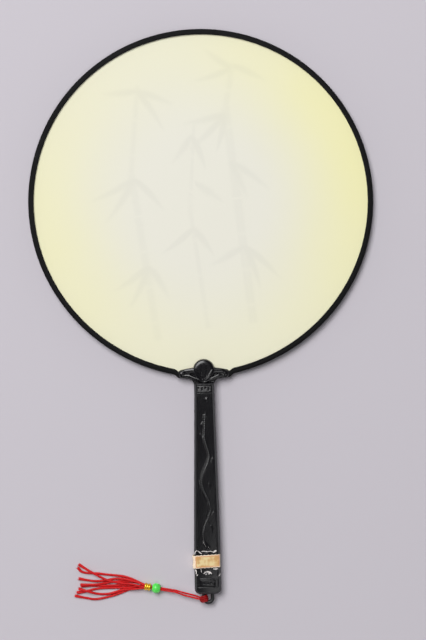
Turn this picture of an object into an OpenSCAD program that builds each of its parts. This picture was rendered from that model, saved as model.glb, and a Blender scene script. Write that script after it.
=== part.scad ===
// Round hand fan: a bound wire hoop that carries two leaves of dyed silk, a moulded black
// handle made of two like halves, and a red cord tassel with two beads on a hang loop.
// The fan lies on its back. +Z is the normal of its front face, +Y runs up the handle.
// The origin is on the rest plane, under the middle of the fan without its tassel.

/* [Hoop] */
// Outer diameter of the bound hoop
hoop_d = 260; // [240:1:290]
// How much larger the radius of the shoulders is, where the hoop drops to the handle
shoulder_extra_r = 5.5; // [3:0.5:8]
// Angle from the handle, along the hoop, at which the shoulders start
shoulder_deg = 60; // [50:1:70]
// Diameter of the steel wire
wire_d = 2; // [1.6:0.1:2.2]
// Length of each wire end inside the handle
tang_len = 34; // [20:1:60]
// Distance from the middle of the handle to each wire end
tang_offset = 2.2; // [1.8:0.1:2.6]
// Inner radius of the bend from hoop to wire end
tang_bend_r = 3; // [2:0.5:4]

/* [Leaves and binding] */
// Thickness of one silk leaf
leaf_t = 0.35; // [0.25:0.05:0.45]
// Width of the black binding seen from the front
binding_w = 4.2; // [3.9:0.1:4.8]
// Thickness of the bound edge
binding_t = 4; // [3.6:0.1:4.2]
// Radius of the folded inner edges of the binding
binding_edge_r = 0.5; // [0.3:0.1:0.8]
// Length of each binding end inside a wing of the handle
binding_end = 5; // [3:0.5:7]

/* [Handle] */
// Length of the handle from the crown of the bud to the foot
handle_len = 176.5; // [160:0.5:210]
// How far the crown of the bud stands in from the outer edge of the hoop
bud_overlap = 11; // [10:0.5:12]
// Thickness of the two halves together
handle_t = 10; // [9.6:0.2:12]
// Width at the neck
neck_w = 15.2; // [14:0.2:17]
// Width at the foot
foot_w = 20; // [18.6:0.2:24]
// Length of the parallel stretch at the foot
foot_len = 33.5; // [31:0.5:40]
// Radius of the corners of the foot
foot_corner_r = 4.2; // [3.6:0.2:6]
// Width of the bevel along each edge, seen from the front
bevel_w = 1.7; // [1:0.1:2]
// Height of the upright side of one half
side_h = 2.8; // [2.4:0.1:3.4]

/* [Carved face] */
// Depth of the sunk field and panels
field_depth = 0.9; // [0.6:0.1:1.2]
// Width of the flat border beside the field
border_w = 0.7; // [0.5:0.1:1.2]
// Radius of the notched corners of the field
field_notch_r = 1.6; // [0.8:0.2:2.2]
// Length of each key-fret panel along the handle
fret_len = 5.2; // [4.4:0.2:5.6]
// Width of the raised line of the fret
fret_line_w = 0.7; // [0.5:0.1:0.9]
// Number of key turns across a panel
fret_turns = 4; // [3:1:5]
// Smooth stretch between the point of the bud and the upper fret
collar_len = 2.8; // [2.4:0.2:4]
// Width of the rail between a fret and the field
rail_w = 0.8; // [0.6:0.1:1.4]
// Distance from the foot to the middle of the lower fret
foot_fret_rise = 8.2; // [7.4:0.2:9.4]
// Width of the lower fret
foot_fret_w = 12.4; // [10:0.2:15]
// Width of the dragon's body at its thickest
dragon_w = 3; // [2.2:0.1:3.6]
// How far the dragon's body swings to each side
dragon_swing = 3; // [1.4:0.1:3.2]
// Length of one full swing of the dragon's body
dragon_wave = 40.5; // [30:0.5:46]
// Distance from the top of the field to the dragon's brow
dragon_head_drop = 16; // [12:0.5:20]
// Distance from the bottom of the field to the tip of its tail
dragon_tail_rise = 22; // [20:0.5:28]
// Diameter of the pearl
pearl_d = 2.2; // [1.6:0.1:2.6]

/* [Head] */
// Width of the bud
bud_w = 15.7; // [15:0.1:17]
// Length of the pointed lower part of the bud, from its widest place
bud_tip_len = 9; // [8.4:0.2:10]
// Distance of each wing tip from the middle
wing_reach = 19.7; // [19:0.1:22]
// Radius of the wing tips
wing_tip_r = 3.4; // [3.2:0.1:3.8]
// Radius of the wings beside the bud
wing_root_r = 4.5; // [4:0.1:5]
// How far the wings' middle line lies outside the wire
wing_drop = 0.8; // [0.4:0.1:1]
// Height of the wings above the parting plane
wing_h = 3.1; // [3:0.1:3.4]
// Height of the ribs above the wings
rib_rise = 0.6; // [0.3:0.1:1]
// How much higher the lower ribs end, where they meet in a collar under the bud's point
collar_rise = 0.6; // [0:0.1:0.8]
// Radius of the wings' ribs
rib_r = 1.9; // [1.6:0.1:2.2]
// Radius of the hollow corner below each wing
wing_fillet_r = 5; // [3:0.5:6]

/* [Locating pegs] */
// Diameter of a locating peg
peg_d = 2.4; // [2:0.1:2.8]
// How far a peg stands into the other half
peg_len = 2; // [1.4:0.1:2.4]

/* [Hang loop] */
// Diameter of the loop's bar
loop_bar_d = 2.9; // [2.4:0.1:3]
// Radius of the loop to the middle of its bar
loop_r = 3.25; // [3.15:0.05:3.6]
// Distance from the foot to the middle of the loop's round end
loop_drop = 3.3; // [3.1:0.1:4]
// Length of each leg inside the foot
loop_leg_len = 8; // [6:0.5:10]
// Diameter of the collar that locks each leg in the foot
loop_collar_d = 4.4; // [4:0.1:4.6]
// Thickness of that collar
loop_collar_t = 1.6; // [1.2:0.1:2]

/* [Paper band] */
// Length of the paper band along the handle
paper_len = 9.6; // [8:0.2:11]
// Distance from the foot to the near edge of the band
paper_rise = 20.2; // [19:0.2:21]
// Thickness of the paper
paper_t = 0.25; // [0.15:0.05:0.4]
// How far from the right edge of the handle the band ends, on the bevel
paper_short = 0.4; // [0.2:0.1:1]

/* [Tassel] */
// Diameter of the doubled hanging cord
cord_d = 1.25; // [1.1:0.05:1.25]
// Diameter of a skirt strand where it leaves the gold cap
strand_d = 1.3; // [1.1:0.05:1.3]
// Diameter of a skirt strand past the cap, where its braid is looser
skirt_d = 1.6; // [1.3:0.05:1.6]
// Place of the knot round the loop, counted from the right
knot_deg = 190; // [188:1:194]
// Number of turns of the knot round the loop's bar
knot_turns = 3; // [2:1:3]
// Angle between two turns of the knot, seen from the loop's middle
knot_turn_deg = 22; // [20:1:24]
// Diameter of the green bead
bead_d = 7.5; // [6.4:0.1:7.5]
// Length of the green bead
bead_len = 6.7; // [5.6:0.1:6.9]
// Diameter of the bore through bead and cap
bead_bore_d = 2.85; // [2.8:0.05:3.2]
// Distance from the start of the straight cord to the middle of the green bead
bead_place = 14.8; // [13:0.1:14.9]
// Diameter of the gold cap over its ribs
cap_d = 5.6; // [5.5:0.1:6]
// Diameter of the gold cap between its ribs
cap_waist_d = 5.1; // [5:0.1:5.3]
// Length of the gold cap
cap_len = 5.2; // [5:0.1:5.4]
// Distance from the start of the straight cord to the middle of the gold cap
cap_place = 21.3; // [21.2:0.1:21.6]
// Depth of the gold cap's cup
cup_depth = 4; // [3.8:0.1:4.2]
// Diameter of the gold cap's cup
cup_d = 4.7; // [4.65:0.05:4.8]

/* [Clearances] */
// Gap between glued or captive pieces
fit_gap = 0.05; // [0.02:0.01:0.08]
// Gap between the knot and the loop that it travels on
knot_gap = 0.3; // [0.2:0.05:0.35]

/* [Hidden] */

// Colours
binding_black = "#202224";
plastic_black = "#2a2a2d";
silk_cream = "#ebe8c8";
steel_grey = "#8f9296";
paper_cream = "#e8d29c";
cord_red = "#cf2026";
bead_green = "#5ddc5c";
cap_gold = "#d9a93a";

// How far a cutting shape runs past what it cuts
overrun = 1;

// Number of sides of round pieces, of the hoop, of small relief, of ribs and of swept tubes
round_fn = 48;
hoop_fn = 240;
relief_fn = 16;
rib_fn = 20;
tube_sides = 8;
// Where two arcs of one swept piece meet, the second is thinner by the step and runs
// into the first by the lap, so that they join as one solid
arc_step = 0.02;
arc_lap = 0.2;
// Angle between two points of the leaves' outline and of a foot corner
outline_step_deg = 3;
corner_step_deg = 15;

// The fan is drawn about the middle of its hoop, with the parting plane at zero
hoop_r = hoop_d / 2;
shoulder_r = hoop_r + shoulder_extra_r;
half_t = handle_t / 2;
bud_r = bud_w / 2;
bud_y = bud_overlap - hoop_r;
bud_mid_y = bud_y - bud_r;
bud_point_y = bud_mid_y - bud_tip_len;
foot_y = bud_y - handle_len;
loop_y = foot_y - loop_drop;
loop_bar_r = loop_bar_d / 2;
fan_bottom_y = loop_y - loop_r - loop_bar_r;
hoop_centre_y = -(hoop_r + fan_bottom_y) / 2;

// Middle of the right shoulder's arc
shoulder_centre = shoulder_extra_r * [-sin(shoulder_deg), cos(shoulder_deg)];

// Wire, and its bend from the hoop into the handle
wire_r = wire_d / 2;
wire_in = binding_t / 2;
wire_shoulder_r = shoulder_r - wire_in;
bend_r = tang_bend_r + wire_r;
bend_x = tang_offset + bend_r;
bend_reach_x = bend_x - shoulder_centre[0];
bend_y = shoulder_centre[1] - sqrt(pow(wire_shoulder_r + bend_r, 2) - pow(bend_reach_x, 2));
bend_start_deg = atan2(bend_reach_x, shoulder_centre[1] - bend_y);

// Leaves end just short of the wire
leaf_in = wire_in + wire_r + fit_gap;

// Binding ends, as an angle from straight down about the shoulder's middle
binding_stop_x = wing_reach - wing_tip_r - binding_end;
binding_stop_deg = asin((binding_stop_x - shoulder_centre[0]) / shoulder_r);

// Places down the face of the handle
neck_fret_y = bud_point_y - collar_len - fret_len / 2;
field_top_y = neck_fret_y - fret_len / 2 - rail_w;
foot_fret_y = foot_y + foot_fret_rise;
field_bottom_y = foot_fret_y + fret_len / 2 + rail_w;
taper_end_y = foot_y + foot_len;
field_floor_z = half_t - field_depth;
bevel_rise = half_t - side_h;

// Half the handle's width at a place
function half_width(y) =
    y > field_top_y ? neck_w / 2
    : y < taper_end_y ? foot_w / 2
    : neck_w / 2 + (foot_w - neck_w) / 2 * (field_top_y - y) / (field_top_y - taper_end_y);
function field_half_w(y) = half_width(y) - bevel_w - border_w;

// Wings
wing_tip_x = wing_reach - wing_tip_r;
wing_tip_y = shoulder_centre[1] - wing_drop
    - sqrt(pow(wire_shoulder_r, 2) - pow(wing_tip_x - shoulder_centre[0], 2));
wing_root_x = bud_r - wing_drop;
wing_root_y = bud_mid_y - rib_r - rib_rise;
rib_z = wing_h + rib_rise - rib_r;
wing_under_y = wing_tip_y - wing_tip_r;

// Dragon: its swings are counted from the place of one crest, as a share of the field
dragon_top_y = field_top_y - dragon_head_drop;
dragon_end_y = field_bottom_y + dragon_tail_rise;
dragon_crest_share = 0.33;
dragon_crest_y = field_top_y - dragon_crest_share * (field_top_y - field_bottom_y);
// Shares: of the body that stays straight behind the head, and over which the swing grows
dragon_neck_share = 0.1;
dragon_growth_share = 0.2;
dragon_rings = 34;
// Height of the body above the field's floor, and its width at head and tail, as shares
dragon_height_share = 0.8;
dragon_head_share = 0.7;
dragon_tail_share = 0.25;
// Places of the four legs down the body, each with the side that it points to
dragon_leg_shares = [[0.14, -1], [0.3, 1], [0.52, -1], [0.72, 1]];
leg_r = 0.22 * dragon_w;
leg_len = 0.85 * dragon_w;
claw_r = 0.08 * dragon_w;
claw_len = 0.4 * dragon_w;
claw_spread_deg = 32;
horn_r = 0.16 * dragon_w;
horn_len = 1.1 * dragon_w;
horn_spread_deg = 20;

// Pegs and sockets
peg_x = neck_w / 4;
peg_upper_y = bend_y - tang_len - 2 * peg_d;
peg_lower_y = foot_y + loop_leg_len + 3 * peg_d;

// Knot
cord_r = cord_d / 2;
turn_r = loop_bar_r + knot_gap + cord_r;

// Straight stretch of the doubled cord, seen from the loop's middle on the rest plane
thread_start = [-24.5, 5.35, 4.23];
thread_end = [-44.5, 8.85, 3.63];
thread_dir = (thread_end - thread_start) / norm(thread_end - thread_start);

// Routes of the cord's two legs and of the eight strands, seen from the same place
leg_upper_route = [
    [-6.45, 0.55, 4.95], [-10.5, 2.1, 4.85], [-17.8, 4.05, 4.5], [-24.4, 6, 4.23],
    [-34.4, 7.75, 3.93], [-44.4, 9.5, 3.63]
];
leg_lower_route = [
    [-6.45, -0.85, 4.95], [-10.5, 0.3, 4.85], [-17.9, 2.25, 4.5], [-24.6, 4.7, 4.23],
    [-34.6, 6.45, 3.93], [-44.6, 8.2, 3.63]
];
strand_routes = [
    [[-44.8, 10.5, 3.6], [-48.5, 11.15, 3.5], [-52.5, 13, 2.8], [-59, 15.6, 1.5],
        [-65, 17.1, 0.85], [-76.5, 18.5, 0.85], [-82.5, 19.4, 0.85], [-90.5, 19.9, 0.85],
        [-95.2, 21, 0.85], [-98.1, 23.9, 0.85]],
    [[-44.9, 9.95, 4.85], [-48.6, 10.6, 4.75], [-52.5, 12.3, 4.2], [-58.5, 14.2, 3.1],
        [-65, 15.1, 1.6], [-70.5, 15.25, 0.85], [-77.5, 14.05, 0.85], [-84.5, 13.65, 0.85],
        [-90.5, 14.4, 0.85], [-97.3, 15.7, 0.85]],
    [[-44.9, 9.95, 2.35], [-48.6, 10.6, 2.25], [-52.5, 11.7, 1.7], [-58.5, 12.75, 0.85],
        [-64.5, 13.2, 0.85], [-70.5, 12.95, 0.85], [-77.5, 12.15, 1.1], [-83.5, 11.35, 2.15],
        [-89.5, 11.25, 2.2], [-95.9, 11.25, 2.2]],
    [[-45.2, 8.6, 5.15], [-48.8, 9.25, 5.05], [-52.5, 10.1, 4.6], [-58.5, 11.3, 2.95],
        [-65.5, 12.05, 2.55], [-70.5, 12.95, 2.55], [-75.5, 14.35, 2.55], [-80.5, 16.6, 2.55],
        [-84, 18.6, 2.6], [-88.5, 21.1, 2.6], [-92.5, 23.4, 1.4], [-97.1, 26.3, 0.85]],
    [[-45.2, 8.6, 2.05], [-48.8, 9.25, 1.95], [-52.5, 9.8, 1.3], [-58.5, 9.95, 0.85],
        [-64.5, 10.25, 0.85], [-71.5, 10.15, 0.85], [-78.5, 10.05, 0.85], [-83.5, 10.25, 0.85],
        [-89.5, 10.25, 0.85], [-95.7, 10.15, 0.85]],
    [[-45.1, 8.95, 3.6], [-48.7, 9.6, 3.5], [-52.5, 9.4, 3], [-58.5, 8.65, 2.19],
        [-64.5, 8.45, 1.09], [-71.5, 8.45, 0.85], [-78.5, 8.35, 0.85], [-84.5, 7.85, 0.85],
        [-89.5, 6.85, 0.85], [-94, 5.65, 0.85], [-99, 5.35, 0.85]],
    [[-45.3, 7.55, 4.3], [-48.9, 8.2, 4.2], [-52.5, 7.85, 3.9], [-58.5, 7.35, 2.95],
        [-64.5, 6.9, 1.75], [-73, 4.35, 0.85], [-79, 3.75, 0.85], [-84, 4.3, 1.3],
        [-88.5, 5.55, 2.55], [-93, 6.95, 2.55], [-97.5, 8.1, 1]],
    [[-45.3, 7.55, 2.9], [-48.9, 8.2, 2.8], [-52.5, 7.9, 2.2], [-58.5, 7, 0.85],
        [-64, 5.3, 0.85], [-69.8, 3.2, 0.85], [-75.5, 1.65, 0.85], [-81.5, 0.45, 0.85],
        [-86.5, 0.05, 0.85], [-92, 1.05, 0.85], [-100.4, 2.85, 0.85]]
];

// A direction at an angle from straight down
function down(deg) = [sin(deg), -cos(deg)];
function reversed(list) = [for (i = [len(list) - 1 : -1 : 0]) list[i]];
function mirrored(points) = [for (p = reversed(points)) [-p[0], p[1]]];
function at_height(points, z) = [for (p = points) [p[0], p[1], z]];

// Moves what is drawn about the hoop's middle to its place on the rest plane
module placed() {
    translate([0, hoop_centre_y, half_t]) children();
}

// Moves what is drawn about the loop's middle, on the rest plane, to its place
module from_loop() {
    translate([0, hoop_centre_y + loop_y, 0]) children();
}

// A closed skin over a row of rings that all have the same number of points
module skin(rings) {
    sides = len(rings[0]);
    last = len(rings) - 1;
    polyhedron(
        points = [for (ring = rings) each ring],
        faces = concat(
            [[for (i = [0 : sides - 1]) i]],
            [[for (i = [sides - 1 : -1 : 0]) last * sides + i]],
            [for (k = [0 : last - 1], i = [0 : sides - 1])
                let (a = k * sides, b = a + sides, j = (i + 1) % sides)
                [a + i, b + i, b + j, a + j]]
        )
    );
}

// A ring across a route at its point i, with a half width and a half height
function tube_ring(route, i, wide, high) =
    let (
        along = route[min(i + 1, len(route) - 1)] - route[max(i - 1, 0)],
        side = cross(along, [0, 0, 1]) / norm(cross(along, [0, 0, 1])),
        up = cross(along, side) / norm(along)
    )
    [for (k = [0 : tube_sides - 1])
        let (a = 360 * k / tube_sides)
        route[i] + wide * cos(a) * side + high * sin(a) * up];

module cord(route, d) {
    skin([for (i = [0 : len(route) - 1]) tube_ring(route, i, d / 2, d / 2)]);
}

// A strand: thin at its first three points, which the cap holds, and full two points later
module growing_cord(route) {
    skin([for (i = [0 : len(route) - 1])
        let (r = (strand_d + (skirt_d - strand_d) * min(1, max(0, i - 2) / 2)) / 2)
        tube_ring(route, i, r, r)]);
}

// Outline of the hoop, drawn in from its outer edge: a round top and two wider shoulders
function hoop_outline(inset) =
    let (
        r = shoulder_r - inset,
        low_deg = asin(-shoulder_centre[0] / r),
        shoulder = [for (a = [low_deg : outline_step_deg : shoulder_deg - outline_step_deg / 2])
            shoulder_centre + r * down(a)],
        top = [for (a = [shoulder_deg : outline_step_deg : 360 - shoulder_deg])
            (hoop_r - inset) * down(a)]
    )
    concat(shoulder, top, mirrored(shoulder));

// Carries a section, drawn about the hoop's outer edge, round its top. The second child,
// a thinner section, goes round both shoulders and runs into the first.
module along_hoop(from_deg) {
    lap_deg = atan(arc_lap / shoulder_r);
    rotate([0, 0, shoulder_deg - 90])
        rotate_extrude(angle = 360 - 2 * shoulder_deg, $fn = hoop_fn)
            translate([hoop_r, 0]) children(0);
    for (side = [0, 1])
        mirror([side, 0, 0])
            translate(shoulder_centre)
                rotate([0, 0, from_deg - 90])
                    rotate_extrude(angle = shoulder_deg - from_deg + lap_deg, $fn = hoop_fn)
                        translate([shoulder_r, 0]) children(1);
}

// The wire hoop with its two ends bent down into the handle
module wire_shape(extra) {
    thick_r = wire_r + extra;
    thin_r = thick_r - arc_step;
    along_hoop(bend_start_deg - atan(arc_lap / shoulder_r)) {
        translate([-wire_in, 0]) circle(r = thick_r, $fn = round_fn);
        translate([-wire_in, 0]) circle(r = thin_r, $fn = round_fn);
    }
    for (side = [0, 1])
        mirror([side, 0, 0])
            translate([bend_x, bend_y, 0]) {
                rotate([0, 0, 90 + bend_start_deg])
                    rotate_extrude(angle = 90 - bend_start_deg, $fn = round_fn)
                        translate([bend_r, 0]) circle(r = thick_r, $fn = round_fn);
                translate([-bend_r, arc_lap, 0])
                    rotate([90, 0, 0])
                        cylinder(r = thin_r, h = tang_len + extra, $fn = round_fn);
            }
}

module hoop_wire() {
    color(steel_grey) placed() wire_shape(0);
}

module leaf_sheet() {
    linear_extrude(height = leaf_t) polygon(hoop_outline(leaf_in));
}

module leaf_front() {
    color(silk_cream) placed() leaf_sheet();
}

module leaf_back() {
    color(silk_cream) placed() rotate([0, 180, 0]) leaf_sheet();
}

// Section of the binding: a folded tape, round outside, open towards the leaves
module binding_section(thinner) {
    half = binding_t / 2 - thinner;
    width = binding_w - thinner;
    slot = leaf_t + fit_gap + thinner;
    difference() {
        union() {
            translate([-wire_in, 0]) circle(r = half, $fn = round_fn);
            translate([binding_edge_r - width, -half])
                square([width - binding_edge_r - wire_in, 2 * half]);
            translate([-width, binding_edge_r - half])
                square([width - wire_in, 2 * (half - binding_edge_r)]);
            for (side = [-1, 1])
                translate([binding_edge_r - width, side * (half - binding_edge_r)])
                    circle(r = binding_edge_r, $fn = round_fn);
        }
        translate([-wire_in, 0]) circle(r = wire_r + fit_gap + thinner, $fn = round_fn);
        translate([-binding_w - overrun, -slot])
            square([binding_w + overrun - wire_in, 2 * slot]);
    }
}

module edge_binding() {
    color(binding_black) placed() along_hoop(binding_stop_deg) {
        binding_section(0);
        binding_section(arc_step);
    }
}

// Outline of the handle's shaft, drawn in from its edge
function shaft_outline(inset) =
    let (
        corner = [foot_w / 2 - foot_corner_r, foot_y + foot_corner_r],
        right = concat(
            [for (a = [0 : corner_step_deg : 90])
                corner + (foot_corner_r - inset) * down(a)],
            [[foot_w / 2 - inset, taper_end_y], [neck_w / 2 - inset, field_top_y],
                [neck_w / 2 - inset, bud_point_y - inset]]
        )
    )
    concat(right, mirrored(right));

module shaft() {
    skin([
        at_height(shaft_outline(0), 0),
        at_height(shaft_outline(0), side_h),
        at_height(shaft_outline(bevel_w), half_t)
    ]);
}

// A round-backed bud: a cap of a large ball above, two crossing balls for the point below
module bud() {
    cap_z = (pow(half_t, 2) - pow(bud_r, 2)) / (2 * half_t);
    point_z = (pow(half_t, 2) - pow(bud_tip_len, 2)) / (2 * half_t);
    flank_x = (pow(bud_tip_len, 2) - pow(bud_r, 2)) / (2 * bud_r);
    flank_r = sqrt(pow(bud_r + flank_x, 2) + pow(point_z, 2));
    translate([0, bud_mid_y, cap_z])
        sphere(r = half_t - cap_z, $fn = round_fn);
    intersection() {
        translate([-flank_x, bud_mid_y, point_z]) sphere(r = flank_r, $fn = round_fn);
        translate([flank_x, bud_mid_y, point_z]) sphere(r = flank_r, $fn = round_fn);
        translate([-bud_w, bud_mid_y - bud_w, -bud_w])
            cube([2 * bud_w, bud_w, 2 * bud_w]);
    }
}

// A rounded rib between two places
module rib(start, start_r, end, end_r) {
    hull() {
        translate(start) sphere(r = start_r, $fn = rib_fn);
        translate(end) sphere(r = end_r, $fn = rib_fn);
    }
}

// Wings that sheathe the hoop: a plate, two ribs on each side and a hollow corner below
module wings() {
    hull() {
        for (side = [-1, 1]) {
            translate([side * wing_tip_x, wing_tip_y, 0])
                cylinder(r = wing_tip_r, h = wing_h, $fn = round_fn);
            translate([side * wing_root_x, wing_root_y, 0])
                cylinder(r = wing_root_r, h = wing_h, $fn = round_fn);
        }
    }
    for (side = [-1, 1]) {
        rib([side * wing_root_x, bud_mid_y - rib_rise, rib_z], rib_r,
            [side * wing_tip_x, wing_tip_y + rib_r / 2, rib_z], rib_r);
        rib([side * rib_r / 2, bud_point_y, rib_z + collar_rise], rib_r,
            [side * wing_tip_x, wing_tip_y - rib_r / 2, rib_z - rib_rise / 2], rib_r);
        difference() {
            translate([side < 0 ? -neck_w / 2 - wing_fillet_r : 0, wing_under_y - wing_fillet_r, 0])
                cube([neck_w / 2 + wing_fillet_r, wing_fillet_r + wing_tip_r, side_h]);
            translate([side * (neck_w / 2 + wing_fillet_r), wing_under_y - wing_fillet_r, -overrun])
                cylinder(r = wing_fillet_r, h = side_h + 2 * overrun, $fn = round_fn);
        }
    }
}

// Everything below the parting plane, for cutting
module below_parting() {
    translate([-hoop_r, foot_y - overrun, -hoop_r])
        cube([2 * hoop_r, handle_len + 2 * overrun, hoop_r]);
}

// Sunk field between the frets, with notched corners
module field_cut() {
    top_w = field_half_w(field_top_y);
    foot_half_w = field_half_w(taper_end_y);
    translate([0, 0, field_floor_z])
        difference() {
            linear_extrude(height = field_depth + overrun)
                polygon([
                    [-top_w, field_top_y], [-foot_half_w, taper_end_y],
                    [-foot_half_w, field_bottom_y], [foot_half_w, field_bottom_y],
                    [foot_half_w, taper_end_y], [top_w, field_top_y]
                ]);
            for (side = [-1, 1]) {
                translate([side * top_w, field_top_y, -overrun])
                    cylinder(r = field_notch_r, h = field_depth + 3 * overrun, $fn = round_fn);
                translate([side * foot_half_w, field_bottom_y, -overrun])
                    cylinder(r = field_notch_r, h = field_depth + 3 * overrun, $fn = round_fn);
            }
        }
}

// Key fret across the handle: a sunk panel, and a raised line that turns back in each cell
module fret_cut(y, w) {
    translate([-w, y - fret_len / 2, field_floor_z])
        cube([2 * w, fret_len, field_depth + overrun]);
}

module fret_line(y, w) {
    cell = (2 * w - fret_line_w) / fret_turns;
    tongue = (fret_len - fret_line_w) / 2;
    line_h = field_depth * dragon_height_share;
    translate([-w, y - fret_len / 2, field_floor_z - overrun])
        for (i = [0 : fret_turns]) {
            odd = i % 2;
            translate([i * cell, 0, 0])
                cube([fret_line_w, fret_len, overrun + line_h]);
            if (i < fret_turns) {
                translate([i * cell, odd * (fret_len - fret_line_w), 0])
                    cube([cell + fret_line_w, fret_line_w, overrun + line_h]);
                translate([(i + 0.5) * cell, odd * (fret_len - tongue), 0])
                    cube([fret_line_w, tongue, overrun + line_h]);
            }
        }
}

// Middle line of the dragon: a swing that grows from the neck to its full width
function dragon_point(share) =
    let (
        y = dragon_top_y + share * (dragon_end_y - dragon_top_y),
        grown = min(1, max(0, (share - dragon_neck_share) / dragon_growth_share)),
        swing = dragon_swing * grown
    )
    [swing * cos(360 * (y - dragon_crest_y) / dragon_wave), y, field_floor_z];

function dragon_half_w(share) =
    let (
        rise = dragon_head_share + (1 - dragon_head_share) * min(1, 3 * share),
        fall = dragon_tail_share + (1 - dragon_tail_share) * min(1, 1.8 * (1 - share))
    )
    dragon_w / 2 * min(rise, fall);

module dragon() {
    height = field_depth * dragon_height_share;
    spine = [for (i = [0 : dragon_rings]) dragon_point(i / dragon_rings)];
    skin([for (i = [0 : dragon_rings])
        tube_ring(spine, i, dragon_half_w(i / dragon_rings), height)]);
    brow = dragon_point(0);
    brow_r = 0.7 * dragon_w;
    snout_r = 0.5 * dragon_w;
    translate([brow[0], brow[1], field_floor_z + height - brow_r])
        sphere(r = brow_r, $fn = relief_fn);
    translate([brow[0], brow[1] + brow_r, field_floor_z + height - snout_r - horn_r / 2])
        sphere(r = snout_r, $fn = relief_fn);
    for (side = [-1, 1])
        translate([brow[0] + side * horn_r, brow[1], field_floor_z + horn_r / 2])
            rotate([90, 0, side * horn_spread_deg])
                cylinder(r1 = horn_r, r2 = horn_r / 3, h = horn_len, $fn = relief_fn);
    for (place = dragon_leg_shares)
        translate(dragon_point(place[0]))
            rotate([0, 0, 90 - place[1] * 90])
                dragon_leg();
    translate([pearl_d / 2, field_top_y - pearl_d - rail_w, field_floor_z])
        sphere(d = pearl_d * dragon_height_share, $fn = relief_fn);
}

module dragon_leg() {
    rotate([0, 90, 0])
        cylinder(r = leg_r, h = leg_len, $fn = relief_fn);
    translate([leg_len, 0, 0]) {
        sphere(r = 1.2 * leg_r, $fn = relief_fn);
        for (turn = [-1, 0, 1])
            rotate([0, 90, turn * claw_spread_deg])
                cylinder(r1 = 2 * claw_r, r2 = claw_r, h = claw_len + leg_r, $fn = relief_fn);
    }
}

// Bars of the hang loop's legs, with their locking collars
module loop_legs(extra) {
    for (side = [-1, 1])
        translate([side * loop_r, loop_y, 0])
            rotate([-90, 0, 0]) {
                cylinder(r = loop_bar_r + extra, h = loop_drop + loop_leg_len + extra, $fn = round_fn);
                translate([0, 0, loop_drop + loop_leg_len - loop_collar_t - extra])
                    cylinder(d = loop_collar_d + 2 * extra, h = loop_collar_t + 2 * extra,
                        $fn = round_fn);
            }
}

// Section of the room that the handle leaves for the binding
module binding_room() {
    translate([-binding_w - fit_gap, -binding_t / 2 - fit_gap])
        square([binding_w + 2 * fit_gap, binding_t + 2 * fit_gap]);
}

// One half of the handle, face up on the parting plane. Turned over, it is the other half.
module handle_half() {
    difference() {
        union() {
            difference() {
                union() {
                    shaft();
                    bud();
                    wings();
                }
                field_cut();
                fret_cut(neck_fret_y, field_half_w(neck_fret_y));
                fret_cut(foot_fret_y, foot_fret_w / 2);
            }
            fret_line(neck_fret_y, field_half_w(neck_fret_y));
            fret_line(foot_fret_y, foot_fret_w / 2);
            dragon();
        }
        below_parting();
        translate([0, 0, -overrun])
            linear_extrude(height = overrun + leaf_t + fit_gap)
                polygon(hoop_outline(leaf_in - fit_gap));
        wire_shape(fit_gap);
        along_hoop(binding_stop_deg - fit_gap) {
            binding_room();
            binding_room();
        }
        loop_legs(fit_gap);
        for (y = [peg_upper_y, peg_lower_y])
            translate([-peg_x, y, -overrun])
                cylinder(d = peg_d + 2 * fit_gap, h = overrun + peg_len + 2 * fit_gap,
                    $fn = round_fn);
    }
    for (y = [peg_upper_y, peg_lower_y])
        translate([peg_x, y, -peg_len])
            cylinder(d = peg_d, h = 2 * peg_len, $fn = round_fn);
}

module handle_front() {
    color(plastic_black) placed() handle_half();
}

module handle_back() {
    color(plastic_black) placed() rotate([0, 180, 0]) handle_half();
}

module hang_loop() {
    color(plastic_black) placed() {
        translate([0, loop_y, 0])
            rotate([0, 0, 180])
                rotate_extrude(angle = 180, $fn = round_fn)
                    translate([loop_r, 0]) circle(r = loop_bar_r, $fn = round_fn);
        loop_legs(0);
    }
}

// Corner of a contour pushed out by one unit, between two outward directions
function miter(a, b) = (a + b) / (1 + a * b);

// The band's line round the left edge, pushed out from the handle by a distance
function band_line(out) =
    let (
        slope_deg = atan2(bevel_rise, bevel_w),
        face = [0, 1],
        bevel = [-sin(slope_deg), cos(slope_deg)],
        side = [-1, 0],
        back = [-sin(slope_deg), -cos(slope_deg)],
        edge_x = foot_w / 2 - bevel_w,
        right_bevel = [sin(slope_deg), cos(slope_deg)],
        end_drop = bevel_rise * (1 - paper_short / bevel_w)
    )
    [
        [foot_w / 2 - paper_short, half_t - end_drop] + out * right_bevel,
        [edge_x, half_t] + out * miter(face, right_bevel),
        [-edge_x, half_t] + out * miter(face, bevel),
        [-foot_w / 2, side_h] + out * miter(bevel, side),
        [-foot_w / 2, -side_h] + out * miter(side, back),
        [-edge_x - bevel_w / 4, -half_t + bevel_rise / 4] + out * back
    ];

module paper_band() {
    color(paper_cream) placed()
        translate([0, foot_y + paper_rise + paper_len, 0])
            rotate([90, 0, 0])
                linear_extrude(height = paper_len)
                    polygon(concat(band_line(fit_gap + paper_t), reversed(band_line(fit_gap))));
}

// Knot: turns of cord round the loop's bar and the bight laid across them
module cow_hitch() {
    color(cord_red) from_loop() translate([0, 0, half_t]) {
        for (turn = [0 : knot_turns - 1])
            rotate([0, 0, knot_deg + (turn - (knot_turns - 1) / 2) * knot_turn_deg])
                translate([loop_r, 0, 0])
                    rotate([90, 0, 0])
                        rotate_extrude($fn = round_fn)
                            translate([turn_r, 0]) circle(r = cord_r, $fn = round_fn);
        rotate([0, 0, knot_deg])
            translate([loop_r, cord_d, turn_r])
                rotate([90, 0, 0])
                    cylinder(r = cord_r, h = 2 * cord_d, $fn = round_fn);
    }
}

module cord_leg_upper() {
    color(cord_red) from_loop() cord(leg_upper_route, cord_d);
}

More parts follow.
